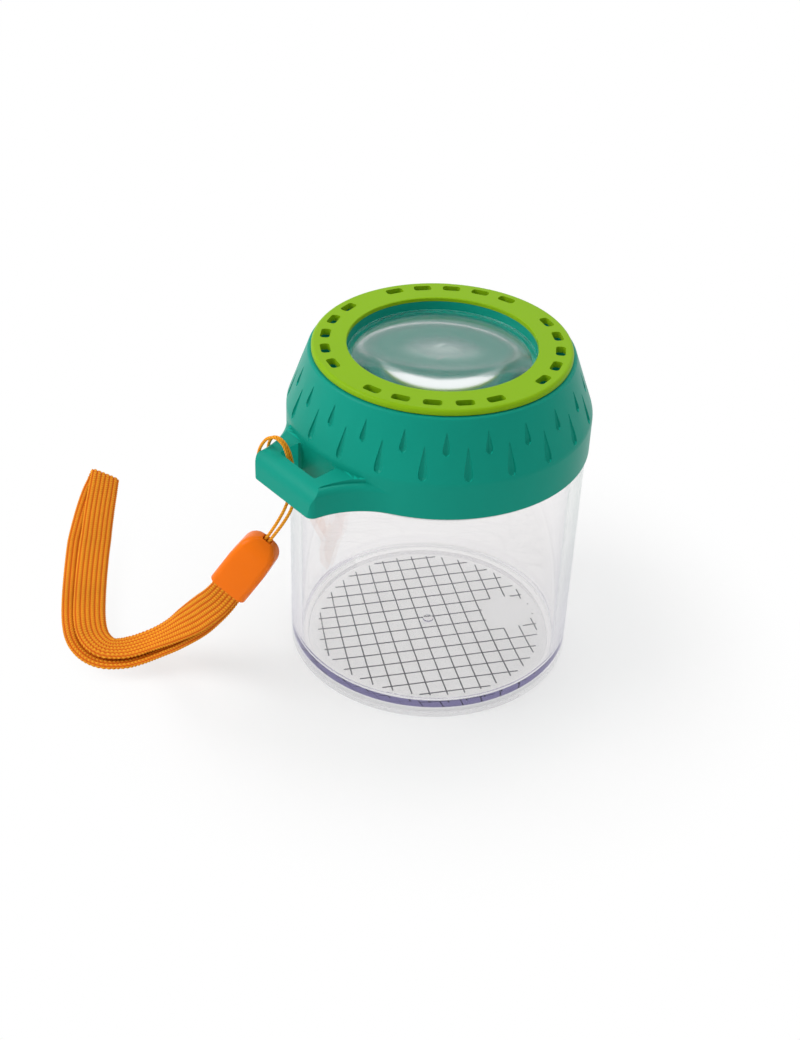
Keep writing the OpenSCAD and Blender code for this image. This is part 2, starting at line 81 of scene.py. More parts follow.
# Gloss and refractive index of the plastics. The lens's index is low, so that the jar's rim
# doesn't show through it as a white ellipse
MOULDED_GLOSS = 0.36
MOULDED_IOR = 1.49
CLEAR_IOR = 1.5
LENS_IOR = 1.3
LENS_GLOSS = 0.08
# Share of a lamp's light that a clear wall stops
CLEAR_SHADOW = 0.18

# Painted light: after this many reflections a path in the clear wall is taken as trapped and ends
# in a painted glow, an emission, whose colour changes from the floor's to the lid's between these
# heights
PAINTED_GLOW_DEPTH = 1.5
FLOOR_PAINTED_GLOW_TOP = 8 * MM
NECK_PAINTED_GLOW_LOW = 50 * MM
# The lid's inner side has a painted glow, an emission standing in for light through its wall, up
# to this height
LID_PAINTED_GLOW_TOP = LID_HIGH.z - 6 * MM
# The foot ring is tinted greyer than the wall: painted shade on its clear plastic
FOOT_RING_R = 31.5 * MM
FOOT_RING_TOP = 3.2 * MM
FOOT_PAINTED_SHADE = (0.76, 0.755, 0.76)

# The photograph's camera: it looks at a point on the jar's axis, then pans, tilts and rolls
VIEW_TURN = math.radians(-41.9)
VIEW_RISE = math.radians(34.067)
VIEW_DISTANCE = 0.4002
VIEW_AIM = Vector((0, 0, 0.0425))
VIEW_PAN = math.radians(-1.182)
VIEW_TILT = math.radians(-1.034)
VIEW_ROLL = math.radians(3.043)
VIEW_LENS = 55.68
# Lamps: turn and rise as seen from the jar in degrees, distance and side in metres, watts
LAMPS = {
    "key_lamp": (-120, 38, 0.7, 0.4, 2.3),
    "top_lamp": (120, 70, 0.7, 0.3, 1.0),
}
# Level of the world's light on the object, and of the floor's own glow near the jar, which
# rises to 1 between these two distances
WORLD_LEVEL = 0.6
FLOOR_LEVEL = 0.5
FLOOR_NEAR = 0.045
FLOOR_FAR = 0.1

# Route of the thin cord, in millimetres, from the cap's tip round the lug and back
CORD_ROUTE = [
    (-51.2, 4.3, 44.4), (-50, 3.2, 46.9), (-48.8, 2.1, 49.4), (-46.8, 1.5, 52.4),
    (-44.6, 1.6, 55.2), (-42.4, 2.6, 57.8), (-41.5, 3.2, 61), (-41.3, 4.2, 64.6),
    (-41.6, 4.8, 67.6), (-42, 5.8, 69.7), (-42.8, 7.4, 70.8), (-43.7, 9.2, 70.1),
    (-44.1, 10.8, 68), (-44.3, 11.9, 65.6), (-44.4, 12.3, 63), (-44.3, 12.3, 60.6),
    (-44.1, 11.6, 59), (-44, 9.8, 58.5), (-44.2, 7, 58.6), (-44.4, 3.8, 58.5), (-44.2, 1.4, 58.2),
    (-43, -0.2, 57.8), (-41.2, -0.4, 57.5), (-40.2, 1.2, 57.7), (-40.1, 4, 58.2),
    (-40.2, 8, 58.5), (-40.3, 11.8, 58.4), (-40.5, 13.4, 59.4), (-40.7, 13.6, 61.4),
    (-40.9, 13.2, 64), (-41.1, 12.3, 66.6), (-41.3, 10.6, 68.8), (-41.3, 8.4, 69.8),
    (-41, 6.4, 69.3), (-40.6, 5, 67.2), (-40.5, 4, 64.4), (-40.7, 2.4, 61.2),
    (-41.7, 1.4, 57.8), (-43.7, 0.6, 54.8), (-46, 0.6, 52), (-48.4, 1.3, 48.9),
    (-49.6, 2.4, 46.3), (-50.7, 3.5, 43.8),
]
# Route of the webbing's middle line, in millimetres, with the direction of its outer edge
WEB_ROUTE = [
    (-53.8, 6.6, 38), (-55.7, 8.3, 34), (-57.2, 11, 29), (-58, 14.6, 24.2),
    (-58.7, 19, 18.8), (-60, 23.4, 13.8), (-62.2, 27.2, 9.4), (-65.4, 30.2, 6.4),
    (-69.2, 32.4, 4.8), (-72.2, 34.2, 4.2), (-74.8, 36.8, 3.8), (-75.9, 40.6, 3.5),
    (-75.4, 45.6, 3.3), (-73, 51.6, 3.1), (-68.6, 59.4, 3), (-61.6, 70.4, 3), (-54, 81.6, 3.2),
    (-46.4, 91.8, 3.7), (-40.6, 99, 4.3), (-37, 103.2, 4.7),
]
WEB_EDGE = [
    (0.41, -0.75, -0.52), (0.41, -0.75, -0.52), (0.3, -0.8, -0.5), (0.1, -0.85, -0.45),
    (-0.1, -0.9, -0.35), (-0.3, -0.9, -0.25), (-0.5, -0.85, -0.15), (-0.62, -0.76, -0.1),
    (-0.68, -0.72, -0.05), (-0.78, -0.62, 0), (-0.92, -0.4, 0.05), (-1, -0.08, 0.12),
    (-0.96, 0.2, 0.18), (-0.9, 0.38, 0.22), (-0.84, 0.5, 0.24), (-0.8, 0.54, 0.24),
    (-0.78, 0.56, 0.26), (-0.76, 0.56, 0.3), (-0.74, 0.54, 0.36), (-0.72, 0.52, 0.42),
]
# The cap's mouth, the direction of its tip and the direction of its width
CAP_MOUTH = Vector((-55.7, 8.3, 34)) * MM
CAP_DIR = Vector((7, -6.5, 15))
CAP_ACROSS = Vector((0.414, -0.747, -0.521))

# The cord's mesh: rings, points in a ring, plies, and depth of the grooves between the plies
# as a share of its radius
CORD_RINGS, CORD_SIDES, CORD_PLIES = 620, 12, 3
PLY_GROOVE = 0.18
# The knit: points of the mesh in one stitch, how square the flat tube's section is across and
# through, how flat a column's crest is, and the share of its height that the stitches leave
STITCH_POINTS = 4
SQUARE_ACROSS, SQUARE_THROUGH = 0.45, 0.6
CREST_FLATNESS = 0.7
STITCH_FLOOR = 0.2
# The loop of webbing: half the gap between its layers, in thicknesses of webbing, the points
# of the route over which they part and slide together again, and the share of its width that
# fits in the cap, with its growth from point to point
HALF_GAP = 0.7
PARTING, SLIDING = 9, 3
WIDTH_IN_CAP, WIDTH_GROWTH = 0.84, 0.04
# Points of the route and of the fold, before the even spacing
ROUTE_POINTS, FOLD_POINTS = 160, 8
# The cap's dome: its steps, the angle of each, and how far its top lies below the full height
DOME_STEPS = 7
DOME_ANGLE = math.radians(10)
DOME_LIP = 0.04 * MM
# Edges that turn by less than this look smooth
CAP_SMOOTH = math.radians(40)
MOULDED_SMOOTH = math.radians(50)

# The printed grid: its turn, the face that carries it, and the gaps that its bare patch makes
# in a row or column, in cells from the jar's axis
GRID_TURN = math.radians(-26.2)
INK_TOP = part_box("grid_print")[1].z
GRID_GAPS = {
    ("row", 1.5): (4.5, 5.85), ("row", 0.5): (3.65, 6.72), ("row", -0.5): (3.65, 6.72),
    ("row", -1.5): (4.5, 5.75), ("column", 4.5): (-1.5, 1.5), ("column", 5.5): (-1.45, 1.55),
    ("column", 6.5): (-0.9, 1.1),
}


class JarSizes(PropertyGroup):
    """Sizes of what is moulded on the jar and in the lid"""
    neck_step: FloatProperty(
        name="Neck step", description="How far the neck stands in from the wall",
        default=1.6 * MM, unit="LENGTH")
    lid_bore_r: FloatProperty(
        name="Lid bore", description="Radius of the bore of the lid's skirt",
        default=35.2 * MM, unit="LENGTH")
    thread_h: FloatProperty(
        name="Thread height", description="How far a thread ridge stands out",
        default=0.35 * MM, unit="LENGTH")
    thread_w: FloatProperty(
        name="Thread width", description="Width of a thread ridge",
        default=1.3 * MM, unit="LENGTH")
    thread_pitch: FloatProperty(
        name="Thread pitch", description="Rise of the thread in one turn",
        default=3.6 * MM, unit="LENGTH")
    neck_thread_drop: FloatProperty(
        name="Neck thread start", description="How far below the neck's top its thread starts",
        default=7.2 * MM, unit="LENGTH")
    neck_thread_turns: FloatProperty(
        name="Neck thread turns", description="Turns of the neck's thread", default=1.4)
    lid_thread_rise: FloatProperty(
        name="Lid thread start", description="How far above the lid's rim its thread starts",
        default=2 * MM, unit="LENGTH")
    lid_thread_turns: FloatProperty(
        name="Lid thread turns", description="Turns of the lid's thread", default=1.2)
    grid_pitch: FloatProperty(
        name="Grid pitch", description="Distance between two printed lines",
        default=4.23 * MM, unit="LENGTH")
    grid_line: FloatProperty(
        name="Grid line", description="Width of a printed line",
        default=0.32 * MM, unit="LENGTH")
    grid_r: FloatProperty(
        name="Grid radius", description="Radius of the circle on which the lines end",
        default=28.9 * MM, unit="LENGTH")
    ink_t: FloatProperty(
        name="Ink", description="Thickness of the ink", default=0.1 * MM, unit="LENGTH")
    grid_lines: IntProperty(
        name="Grid lines", description="Printed lines in each direction", default=14)
    gate_z: FloatProperty(
        name="Gate mark height", description="Height of the gate mark's lower face",
        default=3.41 * MM, unit="LENGTH")
    gate_r: FloatProperty(
        name="Gate mark", description="Radius of the moulding's gate mark on the floor",
        default=1.4 * MM, unit="LENGTH")
    gate_h: FloatProperty(
        name="Gate mark thickness", description="How far the gate mark stands up",
        default=0.4 * MM, unit="LENGTH")


class StrapSizes(PropertyGroup):
    """Sizes of the wrist strap"""
    cord_d: FloatProperty(
        name="Cord", description="Diameter of the thin cord", default=0.8 * MM, unit="LENGTH")
    cord_lay: FloatProperty(
        name="Lay", description="Length of one turn of the cord's plies",
        default=2.2 * MM, unit="LENGTH")
    web_w: FloatProperty(
        name="Webbing width", description="Width of the webbing", default=8.6 * MM, unit="LENGTH")
    web_t: FloatProperty(
        name="Webbing thickness", description="Thickness of one layer of webbing",
        default=1.3 * MM, unit="LENGTH")
    loop_open: FloatProperty(
        name="Loop opening", description="How far the layers part at the loop's end",
        default=1.6 * MM, unit="LENGTH")
    loop_aside: FloatProperty(
        name="Loop shift", description="How far each layer slides sideways in the loop",
        default=1.9 * MM, unit="LENGTH")
    stitch: FloatProperty(
        name="Stitch", description="Length of one stitch of the webbing",
        default=0.92 * MM, unit="LENGTH")
    stitch_depth: FloatProperty(
        name="Stitch depth", description="Depth of the grooves between the stitches",
        default=0.36 * MM, unit="LENGTH")
    columns: IntProperty(
        name="Columns", description="Columns of stitches round the webbing", default=14)
    cap_l: FloatProperty(
        name="Cap length", description="Length of the cap", default=17 * MM, unit="LENGTH")
    cap_w: FloatProperty(
        name="Cap width", description="Width of the cap", default=9.9 * MM, unit="LENGTH")
    cap_t: FloatProperty(
        name="Cap thickness", description="Thickness of the cap", default=7 * MM, unit="LENGTH")
    cap_corner_r: FloatProperty(
        name="Cap corners", description="Radius of the corners of the cap's section",
        default=1.7 * MM, unit="LENGTH")
    cap_edge: FloatProperty(
        name="Cap edges", description="Width of the bevel on the cap's edges",
        default=0.22 * MM, unit="LENGTH")
    cap_wall: FloatProperty(
        name="Cap wall", description="Wall of the cap", default=0.6 * MM, unit="LENGTH")
    mouth_l: FloatProperty(
        name="Mouth", description="Depth of the cap's mouth", default=6.5 * MM, unit="LENGTH")
    hole_d: FloatProperty(
        name="Cord hole", description="Diameter of the hole for the cord",
        default=2.3 * MM, unit="LENGTH")


class Finishes(PropertyGroup):
    """Colours of the plastics, the ink and the yarn, with the painted glows and the yarn's
    painted shade
    """
    teal: FloatVectorProperty(
        name="Teal", description="Lid", subtype="COLOR", default=(0.004, 0.3, 0.22))
    # Painted light: emission on the lid's inner side, standing in for light through its thin wall
    teal_painted_glow: FloatVectorProperty(
        name="Teal glow", description="Light that comes through the lid's thin wall",
        subtype="COLOR", default=(0.002, 0.12, 0.09))
    lime: FloatVectorProperty(
        name="Lime", description="Vent ring", subtype="COLOR", default=(0.24, 0.45, 0.005))
    clear: FloatVectorProperty(
        name="Clear", description="Jar", subtype="COLOR", default=(0.96, 0.95, 0.95))
    lens: FloatVectorProperty(
        name="Lens", description="Magnifying lens", subtype="COLOR", default=(0.95, 0.99, 0.99))
    # Painted light: emissions that stand in for light trapped in the clear plastic
    floor_painted_glow: FloatVectorProperty(
        name="Floor glow", description="Light trapped in the jar's floor, beside the ink",
        subtype="COLOR", default=(0.17, 0.155, 0.3))
    lid_painted_glow: FloatVectorProperty(
        name="Lid glow", description="Light trapped in the neck and the lens, inside the lid",
        subtype="COLOR", default=(0.06, 0.2, 0.17))
    ink: FloatVectorProperty(
        name="Ink", description="Printed grid", subtype="COLOR", default=(0.035, 0.033, 0.055))
    orange: FloatVectorProperty(
        name="Orange", description="Cap", subtype="COLOR", default=(0.93, 0.18, 0.002))
    yarn: FloatVectorProperty(
        name="Yarn", description="Crests of the yarn", subtype="COLOR",
        default=(1, 0.48, 0.03))
    # Painted shade: the colour that the grooves between the stitches are darkened to
    yarn_painted_shade: FloatVectorProperty(
        name="Yarn grooves", description="Between the stitches", subtype="COLOR",
        default=(0.6, 0.075, 0.002))


def direction(turn, rise):
    """Unit vector from the jar, both angles in radians. Turn 0 is in front, along -Y."""
    return Vector((math.sin(turn) * math.cos(rise), -math.cos(turn) * math.cos(rise),
                   math.sin(rise)))


def deselect_all():
    for item in bpy.context.view_layer.objects:
        item.select_set(False)


def make_active(piece):
    deselect_all()
    piece.select_set(True)
    bpy.context.view_layer.objects.active = piece


def place_in_mesh(piece):
    """Moves the object's place, turn and scale into its mesh."""
    make_active(piece)
    bpy.ops.object.transform_apply(location=True, rotation=True, scale=True)


def choose(piece, mode, wanted):
    """In edit mode, selects the vertices that pass the test by their place, or the faces that
    pass it by their middle and normal."""
    bpy.ops.object.mode_set(mode="OBJECT")
    mesh = piece.data
    for group in (mesh.vertices, mesh.edges, mesh.polygons):
        for item in group:
            item.select = False
    if mode == "VERT":
        for item in mesh.vertices:
            item.select = wanted(item.co)
    else:
        for item in mesh.polygons:
            item.select = wanted(item.center, item.normal)
    bpy.ops.object.mode_set(mode="EDIT")
    bpy.ops.mesh.select_mode(type=mode)


def apply_modifiers(piece):
    make_active(piece)
    for modifier in list(piece.modifiers):
        bpy.ops.object.modifier_apply(modifier=modifier.name)


def smooth_through(rows, count):
    """Evenly spaced rows along a smooth curve through the given ones. Places come first."""
    p = np.array(rows, float)
    p = np.vstack([2 * p[0] - p[1], p, 2 * p[-1] - p[-2]])
    t = np.linspace(0, 1, 24, endpoint=False)[:, None]
    fine = []
    for a, b, c, d in zip(p, p[1:], p[2:], p[3:]):
        bend = 2 * a - 5 * b + 4 * c - d
        twist = 3 * b - a - 3 * c + d
        fine.append((2 * b + (c - a) * t + bend * t ** 2 + twist * t ** 3) / 2)
    fine = np.vstack(fine + [p[-2:-1]])
    steps = np.linalg.norm(np.diff(fine[:, :3], axis=0), axis=1)
    reach = np.concatenate([[0], np.cumsum(steps)])
    even = np.linspace(0, reach[-1], count)
    return np.stack([np.interp(even, reach, column) for column in fine.T], axis=1)


def unit(rows):
    return rows / np.linalg.norm(rows, axis=1)[:, None]


def along(points):
    return unit(np.gradient(points, axis=0))


def square_to(rows, t):
    return unit(rows - np.sum(rows * t, axis=1)[:, None] * t)


def length_of(points):
    return float(np.linalg.norm(np.diff(points, axis=0), axis=1).sum())


def tube_object(name, rings, relief):
    """A closed tube from rings of points, with a UV map and a relief value at each point."""
    count, sides = rings.shape[:2]
    faces = [
        (i * sides + j, i * sides + (j + 1) % sides,
         (i + 1) * sides + (j + 1) % sides, (i + 1) * sides + j)
        for i in range(count - 1) for j in range(sides)
    ]
    faces.append(tuple(reversed(range(sides))))
    faces.append(tuple(range((count - 1) * sides, count * sides)))
    mesh = bpy.data.meshes.new(name)
    mesh.from_pydata(rings.reshape(-1, 3).tolist(), [], faces)
    mesh.update()
    attribute = mesh.attributes.new("relief", "FLOAT", "POINT")
    attribute.data.foreach_set("value", relief.astype(np.float32).ravel())
    reach = np.concatenate(
        [[0], np.cumsum(np.linalg.norm(np.diff(rings.mean(1), axis=0), axis=1))])
    uv = mesh.uv_layers.new(name="UVMap")
    corners = np.array([v for face in faces[:-2] for v in face]).reshape(-1, 4)
    column = (corners % sides).astype(float)
    column[:, 1:3] = column[:, :1] + 1
    place = np.stack([column / sides, reach[corners // sides]], axis=2)
    flat = np.zeros((len(mesh.loops), 2), np.float32)
    flat[:place.size // 2] = place.reshape(-1, 2)
    uv.data.foreach_set("uv", flat.ravel())
    mesh.shade_smooth()
    piece = bpy.data.objects.new(name, mesh)
    bpy.context.scene.collection.objects.link(piece)
    return piece


def put_material(piece, material):
    piece.data.materials.clear()
    piece.data.materials.append(material)


def add_node(tree, kind, inputs=None, **settings):
    """Adds a node with its settings and feeds its inputs."""
    node = tree.nodes.new(kind)
    for key, value in settings.items():
        setattr(node, key, value)
    feed(tree, node, inputs or {})
    return node


def feed(tree, node, inputs):
    """Sets inputs of a node. An input is a value, or the socket that feeds it."""
    for key, value in inputs.items():
        if isinstance(value, bpy.types.NodeSocket):
            tree.links.new(value, node.inputs[key])
        else:
            node.inputs[key].default_value = value


def new_material(name):
    material = bpy.data.materials.new(name)
    material.use_nodes = True
    tree = material.node_tree
    return material, tree, tree.nodes["Principled BSDF"]


def new_group(name, inputs, outputs):
    """A shader node group with named sockets: inputs are (name, kind, default)."""
    tree = bpy.data.node_groups.new(name, "ShaderNodeTree")
    for label, kind, value in inputs:
        socket = tree.interface.new_socket(label, in_out="INPUT", socket_type=kind)
        socket.default_value = value
    for label, kind in outputs:
        tree.interface.new_socket(label, in_out="OUTPUT", socket_type=kind)
    return tree, tree.nodes.new("NodeGroupInput"), tree.nodes.new("NodeGroupOutput")


def moulded_skin():
    """The skin of a moulded plastic: faint flow marks, a fine grain and uneven gloss."""
    name = "moulded_skin"
    if name in bpy.data.node_groups:
        return bpy.data.node_groups[name]
    tree, given, out = new_group(
        name,
        [("Color", "NodeSocketColor", (0.5, 0.5, 0.5, 1)),
         ("Variation", "NodeSocketFloat", 0.08),
         ("Gloss", "NodeSocketFloat", 0.35),
         ("Gloss spread", "NodeSocketFloat", 0.1),
         ("Grain size", "NodeSocketFloat", 2600),
         ("Grain depth", "NodeSocketFloat", 0.12)],
        [("Color", "NodeSocketColor"), ("Roughness", "NodeSocketFloat"),
         ("Normal", "NodeSocketVector")])
    place = add_node(tree, "ShaderNodeTexCoord").outputs["Object"]
    flow = add_node(tree, "ShaderNodeTexNoise",
                    {"Vector": place, "Scale": 55, "Detail": 3, "Roughness": 0.5})
    grain = add_node(tree, "ShaderNodeTexNoise",
                     {"Vector": place, "Scale": given.outputs["Grain size"], "Detail": 2})
    centred = add_node(tree, "ShaderNodeMath", {0: flow.outputs["Fac"], 1: 0.5},
                       operation="SUBTRACT")
    shade = add_node(tree, "ShaderNodeMath",
                     {0: centred.outputs[0], 1: given.outputs["Variation"], 2: 1},
                     operation="MULTIPLY_ADD")
    tint = add_node(tree, "ShaderNodeHueSaturation",
                    {"Color": given.outputs["Color"], "Value": shade.outputs[0]})
    uneven = add_node(tree, "ShaderNodeMath",
                      {0: centred.outputs[0], 1: given.outputs["Gloss spread"],
                       2: given.outputs["Gloss"]}, operation="MULTIPLY_ADD")
    bump = add_node(tree, "ShaderNodeBump",
                    {"Strength": given.outputs["Grain depth"], "Distance": 0.05 * MM,
                     "Height": grain.outputs["Fac"]})
    feed(tree, out, {"Color": tint.outputs["Color"], "Roughness": uneven.outputs[0],
                     "Normal": bump.outputs["Normal"]})
    return tree


def off_axis(tree, place):
    """The horizontal part of a place: the vector from the jar's axis to it."""
    return add_node(tree, "ShaderNodeVectorMath", {0: place, 1: (1, 1, 0)},
                    operation="MULTIPLY").outputs[0]


def plastic(name, colour, gloss, spread=0.1, grain=0.12, variation=0.08, specular=0.08,
            painted_inner_glow=None):
    """An opaque moulded plastic. A thin wall's inner side can get a painted glow, an emission
    that stands in for the light behind it.
    """
    material, tree, shader = new_material(name)
    skin = add_node(tree, "ShaderNodeGroup", node_tree=moulded_skin())
    feed(tree, skin, {"Color": (*colour, 1), "Variation": variation, "Gloss": gloss,
                      "Gloss spread": spread, "Grain depth": grain})
    feed(tree, shader, {"Base Color": skin.outputs["Color"],
                        "Roughness": skin.outputs["Roughness"],
                        "Normal": skin.outputs["Normal"], "IOR": MOULDED_IOR,
                        "Specular IOR Level": specular})
    # Painted light: the inner side below the given height glows by emission
    if painted_inner_glow is not None:
        own = add_node(tree, "ShaderNodeTexCoord")
        place = own.outputs["Object"]
        facing = add_node(tree, "ShaderNodeVectorMath",
                          {0: off_axis(tree, place), 1: own.outputs["Normal"]},
                          operation="DOT_PRODUCT")
        inwards = add_node(tree, "ShaderNodeMath", {0: facing.outputs["Value"], 1: 0},
                           operation="LESS_THAN")
        height = add_node(tree, "ShaderNodeSeparateXYZ", {"Vector": place}).outputs["Z"]
        below = add_node(tree, "ShaderNodeMath", {0: height, 1: LID_PAINTED_GLOW_TOP},
                         operation="LESS_THAN")
        inside = add_node(tree, "ShaderNodeMath",
                          {0: inwards.outputs[0], 1: below.outputs[0]}, operation="MULTIPLY")
        glow = add_node(tree, "ShaderNodeMix",
                        {"Factor": inside.outputs[0], "A": (0, 0, 0, 1),
                         "B": (*painted_inner_glow, 1)}, data_type="RGBA")
        feed(tree, shader, {"Emission Color": glow.outputs["Result"], "Emission Strength": 1})
    return material


def clear_plastic(name, colour, ior, gloss=0.02, trapped=None):
    """A clear moulded plastic that lets light through to the floor.

    Light that is trapped in its wall is painted: such a path ends in an emission of the first
    colour at the foot and of the second one higher up.
    """
    material, tree, shader = new_material(name)
    skin = add_node(tree, "ShaderNodeGroup", node_tree=moulded_skin())
    feed(tree, skin, {"Color": (*colour, 1), "Variation": 0.02, "Gloss": gloss,
                      "Gloss spread": 0.03, "Grain size": 260, "Grain depth": 0.05})
    rays = add_node(tree, "ShaderNodeLightPath")
    solid = add_node(tree, "ShaderNodeMath",
                     {0: rays.outputs["Is Shadow Ray"], 1: CLEAR_SHADOW - 1, 2: 1},
                     operation="MULTIPLY_ADD")
    feed(tree, shader, {"Base Color": skin.outputs["Color"],
                        "Roughness": skin.outputs["Roughness"],
                        "Normal": skin.outputs["Normal"], "IOR": ior,
                        "Transmission Weight": 1.0, "Alpha": solid.outputs[0]})
    if trapped is None:
        return material
    place = add_node(tree, "ShaderNodeTexCoord").outputs["Object"]
    height = add_node(tree, "ShaderNodeSeparateXYZ", {"Vector": place}).outputs["Z"]
    # Painted shade: the foot ring, outside this radius and below this height, is tinted grey
    reach = add_node(tree, "ShaderNodeVectorMath", {0: off_axis(tree, place)},
                     operation="LENGTH")
    outside = add_node(tree, "ShaderNodeMath",
                       {0: reach.outputs["Value"], 1: FOOT_RING_R}, operation="GREATER_THAN")
    low = add_node(tree, "ShaderNodeMapRange",
                   {"Value": height, "From Min": FOOT_RING_TOP, "From Max": FOOT_RING_TOP - MM})
    foot = add_node(tree, "ShaderNodeMath",
                    {0: outside.outputs[0], 1: low.outputs["Result"]}, operation="MULTIPLY")
    body = add_node(tree, "ShaderNodeMix",
                    {"Factor": foot.outputs[0], "A": (*colour, 1), "B": (*FOOT_PAINTED_SHADE, 1)},
                    data_type="RGBA")
    feed(tree, skin, {"Color": body.outputs["Result"]})
    # Painted light: trapped paths end in an emission, its colour set by height
    rise = add_node(tree, "ShaderNodeMapRange",
                    {"Value": height, "From Min": FLOOR_PAINTED_GLOW_TOP, "From Max": NECK_PAINTED_GLOW_LOW})
    hue = add_node(tree, "ShaderNodeMix",
                   {"Factor": rise.outputs["Result"], "A": (*trapped[0], 1),
                    "B": (*trapped[1], 1)}, data_type="RGBA")
    glow = add_node(tree, "ShaderNodeEmission", {"Color": hue.outputs["Result"]})
    caught = add_node(tree, "ShaderNodeMath",
                      {0: rays.outputs["Glossy Depth"], 1: PAINTED_GLOW_DEPTH},
                      operation="GREATER_THAN")
    mix = add_node(tree, "ShaderNodeMixShader",
                   {0: caught.outputs[0], 1: shader.outputs[0], 2: glow.outputs[0]})
    tree.links.new(mix.outputs[0], tree.nodes["Material Output"].inputs["Surface"])
    return material


def ink_print(colour):
    """Screen-printed ink: matte, with paler specks."""
    material, tree, shader = new_material("grid_ink")
    place = add_node(tree, "ShaderNodeTexCoord").outputs["Object"]
    specks = add_node(tree, "ShaderNodeTexNoise", {"Vector": place, "Scale": 1800, "Detail": 3})
    ramp = add_node(tree, "ShaderNodeMix",
                    {"Factor": specks.outputs["Fac"], "A": (*colour, 1),
                     "B": (*[c * 2.2 for c in colour], 1)}, data_type="RGBA")
    feed(tree, shader, {"Base Color": ramp.outputs["Result"], "Roughness": 0.6})
    return material


def yarn(name, crest, groove_shade, fibre_scale):
    """Knitted or twisted yarn: its relief darkens the grooves with painted shade, and fibres run
    along it.
    """
    material, tree, shader = new_material(name)
    relief = add_node(tree, "ShaderNodeAttribute", attribute_name="relief")
    uv = add_node(tree, "ShaderNodeUVMap", uv_map="UVMap")
    stretched = add_node(tree, "ShaderNodeMapping",
                         {"Vector": uv.outputs[0], "Scale": (90, fibre_scale, 1)})
    fibres = add_node(tree, "ShaderNodeTexNoise",
                      {"Vector": stretched.outputs[0], "Scale": 1, "Detail": 3,
                       "Roughness": 0.7})
    place = add_node(tree, "ShaderNodeTexCoord").outputs["Object"]
    patches = add_node(tree, "ShaderNodeTexNoise", {"Vector": place, "Scale": 90, "Detail": 2})
    lit = add_node(tree, "ShaderNodeMath",
                   {0: fibres.outputs["Fac"], 1: 0.5, 2: -0.25}, operation="MULTIPLY_ADD")
    height = add_node(tree, "ShaderNodeMath",
                      {0: relief.outputs["Fac"], 1: lit.outputs[0]}, operation="ADD",
                      use_clamp=True)
    # Painted shade: low relief takes the darker groove colour
    mix = add_node(tree, "ShaderNodeMix",
                   {"Factor": height.outputs[0], "A": (*groove_shade, 1), "B": (*crest, 1)},
                   data_type="RGBA")
    value = add_node(tree, "ShaderNodeMapRange",
                     {"Value": patches.outputs["Fac"], "To Min": 0.88, "To Max": 1.1})
    colour = add_node(tree, "ShaderNodeHueSaturation",
                      {"Color": mix.outputs["Result"], "Value": value.outputs[0]})
    bump = add_node(tree, "ShaderNodeBump",
                    {"Strength": 0.35, "Distance": 0.08 * MM, "Height": fibres.outputs["Fac"]})
    feed(tree, shader, {"Base Color": colour.outputs["Color"], "Roughness": 0.7,
                        "Normal": bump.outputs["Normal"], "Specular IOR Level": 0.1,
                        "Sheen Weight": 0.06, "Sheen Roughness": 0.4,
                        "Sheen Tint": (*crest, 1)})
    return material


class BUGJAR_OT_camera(Operator):
    """Puts the camera where the photograph was taken from"""
    bl_idname = "bugjar.camera"
    bl_label = "Camera"

    def execute(self, context):
        back = direction(VIEW_TURN, VIEW_RISE)
        bpy.ops.object.camera_add()
        camera = context.object
        camera.name = "photo_camera"
        camera.data.lens = VIEW_LENS
        camera.data.sensor_width = 36
        camera.data.clip_start = 0.01
        camera.data.clip_end = 20
        look = (-back).to_track_quat("-Z", "Y").to_matrix().to_4x4()
        camera.matrix_world = (
            Matrix.Translation(VIEW_AIM + back * VIEW_DISTANCE) @ look
            @ Matrix.Rotation(VIEW_TILT, 4, "X") @ Matrix.Rotation(-VIEW_PAN, 4, "Y")
            @ Matrix.Rotation(VIEW_ROLL, 4, "Z"))
        context.scene.camera = camera
        return {"FINISHED"}


class BUGJAR_OT_strap_cord(Operator):
    """Lays the thin cord, of three twisted plies, round the lug"""
    bl_idname = "bugjar.strap_cord"
    bl_label = "Thin cord"

    def execute(self, context):
        sizes = context.scene.bugjar_strap
        colours = context.scene.bugjar_finishes
        points = smooth_through(np.array(CORD_ROUTE) * MM, CORD_RINGS)
        t = along(points)
        side = np.zeros_like(points)
        side[0] = square_to(np.array([[0, 0, 1.0]]), t[:1])[0]
        for i in range(1, CORD_RINGS):
            side[i] = square_to(side[i - 1:i], t[i:i + 1])[0]
        up = np.cross(t, side)
        length = length_of(points)
        turn = 2 * np.pi * np.linspace(0, length, CORD_RINGS) / sizes.cord_lay
        angle = 2 * np.pi * np.arange(CORD_SIDES) / CORD_SIDES
        lobe = np.abs(np.cos(CORD_PLIES / 2 * (angle[None, :] - turn[:, None])))
        radius = sizes.cord_d / 2 * (1 - PLY_GROOVE + PLY_GROOVE * lobe)
        rings = (points[:, None, :]
                 + (radius * np.cos(angle))[:, :, None] * side[:, None, :]
                 + (radius * np.sin(angle))[:, :, None] * up[:, None, :])
        piece = tube_object("strap_cord_twisted", rings, lobe)
        put_material(piece, yarn("cord_yarn", colours.yarn, colours.yarn_painted_shade, 900))
        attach(piece, "lid")
        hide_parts("strap_cord")
        return {"FINISHED"}


